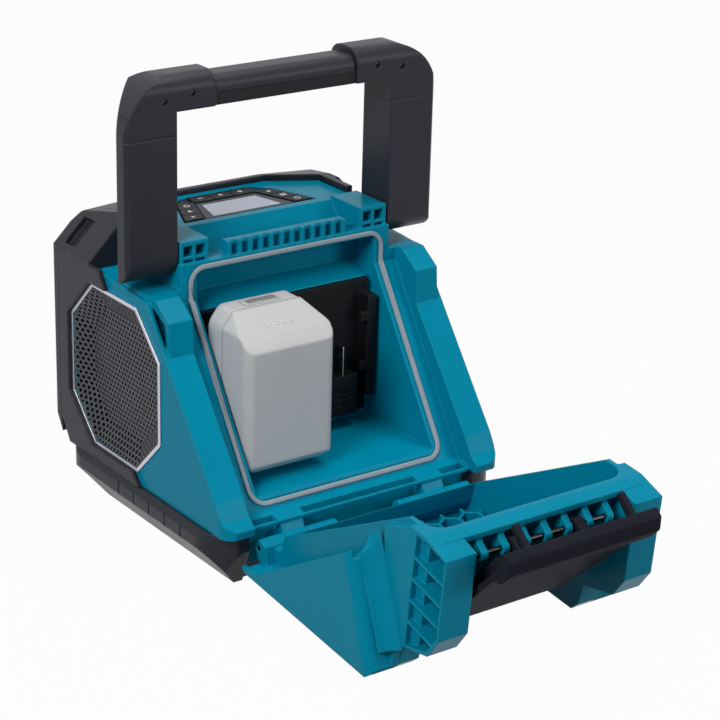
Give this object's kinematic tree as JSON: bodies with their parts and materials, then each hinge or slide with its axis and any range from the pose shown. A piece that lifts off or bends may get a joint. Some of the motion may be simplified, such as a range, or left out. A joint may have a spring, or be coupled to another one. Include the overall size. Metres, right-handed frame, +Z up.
{
  "type": "jobsite bluetooth speaker",
  "caption": "Box-shaped cordless jobsite speaker with an upright carry handle, side and front grilles, and a latched rear door over a battery bay.",
  "frame": {"origin": "on the floor under the middle of the handle's rear face, in the cabinet's plane of symmetry", "axes": "+Z up, -Y towards the battery door, +Y towards the listener, +X to the right seen from the door"},
  "size_m": [0.272, 0.4747, 0.349],
  "materials": {
    "teal_shell": "satin moulded plastic, faint spark texture",
    "black_shell": "moulded plastic, fine matte grain",
    "key_cap": "soft matte key tops",
    "black_rubber": "soft matte rubber",
    "gasket_foam": "smooth light grey sealing strip",
    "silver_trim": "satin silver paint",
    "display_trim": "satin grey plastic",
    "grille_metal": "perforated sheet, dark grey paint",
    "driver_basket": "black painted pressing",
    "cone_paper": "pressed matte cone with a soft surround",
    "magnet_core": "plain ground metal",
    "steel_hardware": "drawn steel",
    "contact_metal": "plated spring metal",
    "circuit_board": "coated laminate",
    "display_glass": "clear window over a plain pale screen",
    "battery_shell": "plain pale grey moulded shell"
  },
  "bodies": {
    "cabinet": {"rear_housing": "teal_shell", "battery_bay": "teal_shell", "front_housing": "teal_shell", "base_tub": "black_shell", "front_rim": "black_shell", "side_frame_left": "black_shell", "side_frame_right": "black_shell", "control_panel": "black_shell", "terminal_left": "black_shell", "terminal_right": "black_shell", "feet": "black_rubber", "gasket": "gasket_foam", "side_bezel_left": "silver_trim", "side_bezel_right": "silver_trim", "front_bezel": "silver_trim", "display_bezel": "display_trim", "side_grille_left": "grille_metal", "side_grille_right": "grille_metal", "front_grille": "grille_metal", "side_driver_frame_left": "driver_basket", "side_driver_frame_right": "driver_basket", "front_driver_frame": "driver_basket", "side_cone_left": "cone_paper", "side_cone_right": "cone_paper", "front_cone": "cone_paper", "side_magnet_left": "magnet_core", "side_magnet_right": "magnet_core", "front_magnet": "magnet_core", "driver_screws": "steel_hardware", "handle_pins": "steel_hardware", "contacts_left": "contact_metal", "contacts_right": "contact_metal", "main_board": "circuit_board", "display_window": "display_glass"},
    "handle": {"handle_leg_left": "black_shell", "handle_leg_right": "black_shell", "handle_corner_left": "black_shell", "handle_corner_right": "black_shell", "handle_grip": "black_shell", "grip_insert": "black_rubber", "handle_screws": "steel_hardware"},
    "door": {"door_tray": "teal_shell", "door_honeycomb": "teal_shell", "hinge_rod": "steel_hardware", "latch_rod": "steel_hardware"},
    "lever": {"latch_lever": "black_shell"},
    "battery": {"battery_case": "battery_shell", "battery_cover": "battery_shell"},
    "battery_release": {"battery_button": "battery_shell"},
    "key_front_left": {"key_front_left": "key_cap"},
    "key_front_mid": {"key_front_mid": "key_cap"},
    "key_front_right": {"key_front_right": "key_cap"},
    "key_right_a": {"key_right_a": "key_cap"},
    "key_right_b": {"key_right_b": "key_cap"},
    "key_right_c": {"key_right_c": "key_cap"},
    "key_left_a": {"key_left_a": "key_cap"},
    "key_left_b": {"key_left_b": "key_cap"},
    "key_left_c": {"key_left_c": "key_cap"}
  },
  "joints": [
    {"name": "door_hinge", "type": "hinge", "parent": "cabinet", "child": "door", "pos_m": [0, -0.11, 0.029], "axis": [-1, 0, 0], "range_deg": [0, 96]},
    {"name": "latch_pivot", "type": "hinge", "parent": "door", "child": "lever", "pos_m": [0, -0.30889, 0.09598], "axis": [-1, 0, 0], "range_deg": [0, 38]},
    {"name": "handle_swing", "type": "hinge", "parent": "cabinet", "child": "handle", "pos_m": [0, 0.0175, 0.216], "axis": [-1, 0, 0], "range_deg": [0, 50]},
    {"name": "battery_slide", "type": "slide", "parent": "cabinet", "child": "battery", "axis": [0, 0, 1], "range_m": [0, 0.009]},
    {"name": "battery_release_press", "type": "slide", "parent": "battery", "child": "battery_release", "axis": [0, 0, -1], "range_m": [0, 0.0015], "stiffness_N_per_m": 600},
    {"name": "key_front_left_press", "type": "slide", "parent": "cabinet", "child": "key_front_left", "axis": [0, 0, -1], "range_m": [0, 0.0008], "stiffness_N_per_m": 800},
    {"name": "key_front_mid_press", "type": "slide", "parent": "cabinet", "child": "key_front_mid", "axis": [0, 0, -1], "range_m": [0, 0.0008], "stiffness_N_per_m": 800},
    {"name": "key_front_right_press", "type": "slide", "parent": "cabinet", "child": "key_front_right", "axis": [0, 0, -1], "range_m": [0, 0.0008], "stiffness_N_per_m": 800},
    {"name": "key_right_a_press", "type": "slide", "parent": "cabinet", "child": "key_right_a", "axis": [0, 0, -1], "range_m": [0, 0.0008], "stiffness_N_per_m": 800},
    {"name": "key_right_b_press", "type": "slide", "parent": "cabinet", "child": "key_right_b", "axis": [0, 0, -1], "range_m": [0, 0.0008], "stiffness_N_per_m": 800},
    {"name": "key_right_c_press", "type": "slide", "parent": "cabinet", "child": "key_right_c", "axis": [0, 0, -1], "range_m": [0, 0.0008], "stiffness_N_per_m": 800},
    {"name": "key_left_a_press", "type": "slide", "parent": "cabinet", "child": "key_left_a", "axis": [0, 0, -1], "range_m": [0, 0.0008], "stiffness_N_per_m": 800},
    {"name": "key_left_b_press", "type": "slide", "parent": "cabinet", "child": "key_left_b", "axis": [0, 0, -1], "range_m": [0, 0.0008], "stiffness_N_per_m": 800},
    {"name": "key_left_c_press", "type": "slide", "parent": "cabinet", "child": "key_left_c", "axis": [0, 0, -1], "range_m": [0, 0.0008], "stiffness_N_per_m": 800}
  ]
}
